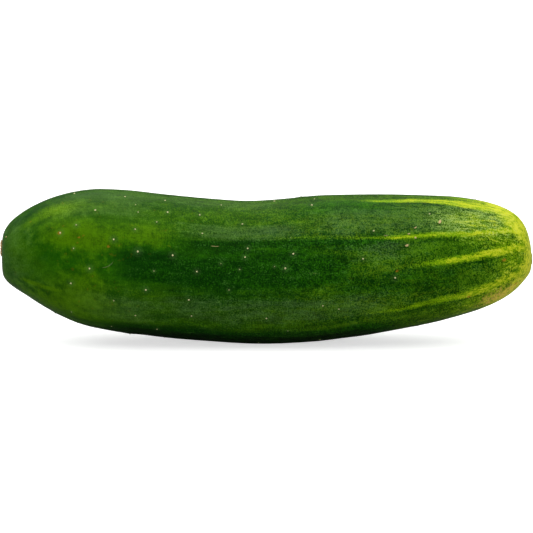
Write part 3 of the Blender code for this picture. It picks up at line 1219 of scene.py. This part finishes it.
def make_tip_material(colours):
    """The spine tips: pale dry cream, some of them dull."""
    material, tree, shader = new_material("spine_tip", 0.6, 0.1)
    even = fruit_coordinates(tree)
    tone = mix_colour(tree, mark_value(tree, "tip_tone"), colours.leaf_green, colours.tip_cream)
    specks = use_group(tree, "fine_specks", Vector=even, Scale=3.0, Threshold=0.5, Softness=0.2)
    colour = mix_colour(tree, 0.12 * specks["Mask"], tone, colours.cork)
    feed(tree, shader.inputs["Base Color"], colour)
    add_bump(tree, shader, noise_value(tree, even, 4.0, 2.0), 0.05, 0.5)
    return material


def make_scar_material(name, light, dark, fibre_stretch):
    """Dry scar tissue: drifting tan with dark pores and fibres."""
    material, tree, shader = new_material(name, 0.85)
    fibres = fruit_coordinates(tree, (fibre_stretch, 1.0, 1.0))
    ground = use_group(tree, "colour_drift", Vector=fibres, Scale=1.1, First=dark, Second=light)
    pores = use_group(tree, "fine_specks", Vector=fibres, Scale=2.6, Threshold=0.52, Softness=0.1)
    share = 0.7 * pores["Mask"]
    feed(tree, shader.inputs["Base Color"], mix_colour(tree, share, ground["Colour"], dark))
    add_bump(tree, shader, noise_value(tree, fibres, 2.2, 4.0, 0.65) - share, 0.15, 0.8)
    return material


def make_floor_material():
    """Plain pale floor. Its light on the fruit is held back, as a matt grey card would."""
    material, tree, shader = new_material("pale_floor", 0.9, 0.0)
    seen = results(tree, add_node(tree, "ShaderNodeLightPath"))["Is Camera Ray"]
    feed(tree, shader.inputs["Base Color"], mix_colour(tree, seen, FLOOR_CARD, FLOOR_SEEN))
    feed(tree, shader.inputs["Emission Color"], (1.0, 1.0, 1.0, 1.0))
    feed(tree, shader.inputs["Emission Strength"], FLOOR_GLOW * seen)
    return material


# Spine tips by Geometry Nodes

def tip_tree():
    """A tree that stands a small dome on every point of the mesh that it is given."""
    tree = bpy.data.node_groups.new("spine_tips_on_points", "GeometryNodeTree")
    for name, kind in (("Geometry", "Geometry"), ("Tip Radius", "Float"), ("Tip Height", "Float"),
                       ("Tip Material", "Material")):
        tree.interface.new_socket(name, in_out="INPUT", socket_type="NodeSocket" + kind)
    tree.interface.new_socket("Geometry", in_out="OUTPUT", socket_type="NodeSocketGeometry")
    given = results(tree, add_node(tree, "NodeGroupInput"))
    result = add_node(tree, "NodeGroupOutput").inputs

    def placed(kind, inputs, **settings):
        """Add a node, feed its inputs and return its results."""
        node = add_node(tree, kind, **settings)
        for name, value in inputs.items():
            feed(tree, node.inputs[name], value)
        return results(tree, node)

    def named(name, kind):
        """Read a value that each point carries."""
        return placed("GeometryNodeInputNamedAttribute", {"Name": name}, data_type=kind)["Attribute"]

    dome = placed("GeometryNodeMeshUVSphere",
                  {"Segments": TIP_SEGMENTS, "Rings": TIP_RINGS, "Radius": 1.0})
    turn = placed("FunctionNodeAlignRotationToVector", {"Vector": named("outward", "FLOAT_VECTOR")},
                  axis="Z")
    size = named("size", "FLOAT")
    wide = given["Tip Radius"] * size
    scale = placed("ShaderNodeCombineXYZ", {"X": wide, "Y": wide, "Z": given["Tip Height"] * size})
    tips = placed("GeometryNodeInstanceOnPoints", {
        "Points": given["Geometry"], "Instance": dome["Mesh"], "Rotation": turn["Rotation"],
        "Scale": scale["Vector"]})
    plain = placed("GeometryNodeRealizeInstances", {"Geometry": tips["Instances"]})
    smooth = placed("GeometryNodeSetShadeSmooth", {"Geometry": plain["Geometry"]})
    finish = placed("GeometryNodeSetMaterial",
                    {"Geometry": smooth["Geometry"], "Material": given["Tip Material"]})
    feed(tree, result["Geometry"], finish["Geometry"])
    return tree


def set_modifier_input(modifier, name, value):
    """Set a Geometry Nodes modifier's input by its socket's identifier."""
    for item in modifier.node_group.interface.items_tree:
        if item.item_type == "SOCKET" and item.in_out == "INPUT" and item.name == name:
            modifier[item.identifier] = value
            return
    raise KeyError(name)


def tip_points(mound_height):
    """Return a mesh of one point for each spine tip, with its outward direction, size and tone."""
    centres, outward = surface_frames(WART_PLACES)
    scales = np.array(wart_sizes())
    seats = centres + outward * (mound_height * scales)[:, None]
    mesh = bpy.data.meshes.new("tip_points")
    mesh.from_pydata([tuple(seat) for seat in seats], [], [])
    direction = mesh.attributes.new("outward", "FLOAT_VECTOR", "POINT")
    direction.data.foreach_set("vector", outward.astype(np.float32).ravel())
    write_mark(mesh, "size", scales)
    draw = random.Random(TONE_SEED + 1)
    tones = [draw.uniform(*(CLEAR_TONES if i < len(MAIN_WARTS) else DULL_TONES))
             for i in range(len(WART_PLACES))]
    write_mark(mesh, "tip_tone", tones)
    return mesh


def build_tips(sizes, material):
    """Make all spine tips as one piece."""
    carrier = finished_object("tip_carrier", tip_points(sizes.mound_height), None)
    modifier = carrier.modifiers.new("tips", "NODES")
    modifier.node_group = tip_tree()
    set_modifier_input(modifier, "Tip Radius", sizes.tip_radius)
    set_modifier_input(modifier, "Tip Height", sizes.tip_height)
    set_modifier_input(modifier, "Tip Material", material)
    graph = bpy.context.evaluated_depsgraph_get()
    mesh = bpy.data.meshes.new_from_object(carrier.evaluated_get(graph), depsgraph=graph)
    carrier.modifiers.remove(modifier)
    bare = carrier.data
    bpy.data.objects.remove(carrier)
    bpy.data.meshes.remove(bare)
    return finished_object("spine_tips", mesh, material)


# Stage

def build_floor(size, material):
    """Make the plain pale floor, just under the resting plane."""
    builder = bmesh.new()
    bmesh.ops.create_grid(builder, x_segments=4, y_segments=4, size=0.5 * size)
    mesh = mesh_from(builder, "floor")
    mesh.transform(Matrix.Translation((0.0, 0.0, -FLOOR_GAP)))
    finished_object("floor", mesh, material, "cucumber_stage")


def build_lamps(stage):
    """Make the broad light from above, soft fills from the front and behind, and the dim sky."""
    lamps = (
        ("overhead", stage.overhead_strength, stage.overhead_spread, OVERHEAD_LEAN, True),
        ("front", stage.front_strength, stage.fill_spread, FILL_LEAN, False),
        ("back", stage.back_strength, stage.fill_spread, -FILL_LEAN, False),
    )
    for name, strength, spread, lean, mirrored in lamps:
        lamp = bpy.data.lights.new(name, "SUN")
        lamp.energy = strength
        lamp.angle = spread
        lamp_object = bpy.data.objects.new(name, lamp)
        lamp_object.rotation_euler = Euler((math.radians(lean), 0.0, 0.0))
        lamp_object.visible_glossy = mirrored
        bpy.context.scene.collection.objects.link(lamp_object)

    world = bpy.data.worlds.new("studio")
    world.use_nodes = True
    sky = world.node_tree.nodes["Background"]
    sky.inputs["Color"].default_value = (1.0, 1.0, 1.0, 1.0)
    sky.inputs["Strength"].default_value = stage.sky_strength
    bpy.context.scene.world = world


def build_camera(stage):
    """Set the camera at the photograph's angle, level along the fruit."""
    data = bpy.data.cameras.new("camera")
    data.lens = stage.camera_lens
    data.sensor_width = SENSOR_WIDTH
    data.clip_end = 100.0
    distance = stage.frame_width * stage.camera_lens / SENSOR_WIDTH
    camera = bpy.data.objects.new("camera", data)
    target = Vector((0.0, 0.0, stage.target_height))
    elevation = stage.camera_elevation
    camera.location = target + distance * Vector((0.0, -math.cos(elevation), math.sin(elevation)))
    camera.rotation_euler = (target - camera.location).to_track_quat("-Z", "Y").to_euler()
    bpy.context.scene.collection.objects.link(camera)
    bpy.context.scene.camera = camera


def settle(piece):
    """Tell the frame what a finished piece rides on."""
    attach(piece, BODY)


# Operators

class CUCUMBER_OT_rind(bpy.types.Operator):
    """Grow the fine rind over the fruit's form"""
    bl_idname = "cucumber.rind"
    bl_label = "Grow Rind"

    def execute(self, context):
        scene = context.scene
        rind = build_skin(scene.fruit_sizes, make_rind_material(scene.fruit_colours))
        settle(rind)
        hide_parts(NODE)
        return {"FINISHED"}


class CUCUMBER_OT_spine_tips(bpy.types.Operator):
    """Stand a pale spine tip on every wart"""
    bl_idname = "cucumber.spine_tips"
    bl_label = "Stand Spine Tips"

    def execute(self, context):
        scene = context.scene
        settle(build_tips(scene.fruit_sizes, make_tip_material(scene.fruit_colours)))
        return {"FINISHED"}


class CUCUMBER_OT_crusts(bpy.types.Operator):
    """Press the healed crusts and scratches onto the rind"""
    bl_idname = "cucumber.crusts"
    bl_label = "Add Crusts"

    def execute(self, context):
        scene = context.scene
        mesh = crust_mesh(scene.fruit_sizes.crust_height)
        material = make_crust_material(scene.fruit_colours)
        settle(finished_object("healed_crusts", mesh, material))
        return {"FINISHED"}


class CUCUMBER_OT_stem_scar(bpy.types.Operator):
    """Make the torn stub of the stem"""
    bl_idname = "cucumber.stem_scar"
    bl_label = "Make Stem Scar"

    def execute(self, context):
        scene = context.scene
        mesh = scar_mesh(scene.fruit_sizes.stem_scar_radius, STEM_SCAR, stem_face)
        colours = scene.fruit_colours
        material = make_scar_material(
            "stem_fibre", colours.stem_tan, colours.stem_dark, STEM_FIBRES)
        settle(finished_object("stem_scar", mesh, material))
        return {"FINISHED"}


class CUCUMBER_OT_blossom_scar(bpy.types.Operator):
    """Make the dry scar of the blossom"""
    bl_idname = "cucumber.blossom_scar"
    bl_label = "Make Blossom Scar"

    def execute(self, context):
        scene = context.scene
        mesh = scar_mesh(scene.fruit_sizes.blossom_scar_radius, BLOSSOM_SCAR, blossom_face)
        colours = scene.fruit_colours
        material = make_scar_material(
            "blossom_cork", colours.blossom_tan, colours.blossom_dark, BLOSSOM_FIBRES)
        settle(finished_object("blossom_scar", mesh, material))
        return {"FINISHED"}


class CUCUMBER_OT_stage(bpy.types.Operator):
    """Set the pale floor, the soft light and the camera"""
    bl_idname = "cucumber.stage"
    bl_label = "Set Stage"

    def execute(self, context):
        stage = context.scene.cucumber_stage
        build_floor(stage.floor_size, make_floor_material())
        build_lamps(stage)
        build_camera(stage)
        context.scene.view_settings.view_transform = "Standard"
        return {"FINISHED"}


class CUCUMBER_PT_finish(bpy.types.Panel):
    """Steps and values of the cucumber's finish"""
    bl_label = "Cucumber"
    bl_space_type = "VIEW_3D"
    bl_region_type = "UI"
    bl_category = "Cucumber"

    def draw(self, context):
        layout = self.layout
        for operator in OPERATORS:
            layout.operator(operator.bl_idname)
        for group in (context.scene.fruit_sizes, context.scene.fruit_colours,
                      context.scene.cucumber_stage):
            box = layout.box()
            for name in group.__annotations__:
                box.prop(group, name)


OPERATORS = (
    CUCUMBER_OT_rind,
    CUCUMBER_OT_spine_tips,
    CUCUMBER_OT_crusts,
    CUCUMBER_OT_stem_scar,
    CUCUMBER_OT_blossom_scar,
    CUCUMBER_OT_stage,
)
CLASSES = (FruitSizes, FruitColours, StageSettings, *OPERATORS, CUCUMBER_PT_finish)


def register():
    for entry in CLASSES:
        bpy.utils.register_class(entry)
    bpy.types.Scene.fruit_sizes = PointerProperty(type=FruitSizes)
    bpy.types.Scene.fruit_colours = PointerProperty(type=FruitColours)
    bpy.types.Scene.cucumber_stage = PointerProperty(type=StageSettings)


def unregister():
    del bpy.types.Scene.cucumber_stage
    del bpy.types.Scene.fruit_colours
    del bpy.types.Scene.fruit_sizes
    for entry in reversed(CLASSES):
        bpy.utils.unregister_class(entry)


def main():
    register()
    bpy.ops.cucumber.rind()
    bpy.ops.cucumber.spine_tips()
    bpy.ops.cucumber.crusts()
    bpy.ops.cucumber.stem_scar()
    bpy.ops.cucumber.blossom_scar()
    bpy.ops.cucumber.stage()


if __name__ == "__main__":
    main()
